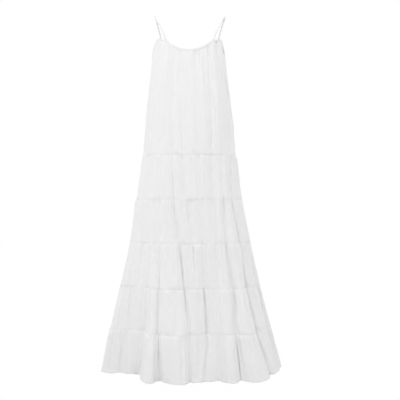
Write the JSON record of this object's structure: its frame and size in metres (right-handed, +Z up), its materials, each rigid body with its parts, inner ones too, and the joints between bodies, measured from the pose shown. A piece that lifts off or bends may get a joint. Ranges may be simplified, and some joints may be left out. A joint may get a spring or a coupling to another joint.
{
  "type": "maxi dress",
  "caption": "Tiered maxi dress in crinkled white cotton gauze, with a gathered scoop neck and thin shoulder straps, hanging hollow as if worn.",
  "frame": {"origin": "midway between the tops of the two straps, at the height where the wearer's shoulders carry them", "axes": "+Z up, front of the dress towards -Y, +X to the wearer's left"},
  "size_m": [0.713, 0.4802, 1.3968],
  "materials": {
    "gauze": "matt crinkled cotton gauze, white",
    "binding": "the same cotton cut on the bias, folded and stitched flat"
  },
  "bodies": {
    "root": {"front_body": "gauze", "back_body": "gauze", "tier_1_front": "gauze", "tier_1_back": "gauze", "tier_2_front": "gauze", "tier_2_back": "gauze", "tier_3_front": "gauze", "tier_3_back": "gauze", "tier_4_front": "gauze", "tier_4_back": "gauze", "tier_5_front": "gauze", "tier_5_back": "gauze", "front_neck_binding": "binding", "back_neck_binding": "binding", "armhole_binding_left": "binding", "armhole_binding_right": "binding", "strap_left": "binding", "strap_right": "binding"}
  },
  "joints": []
}
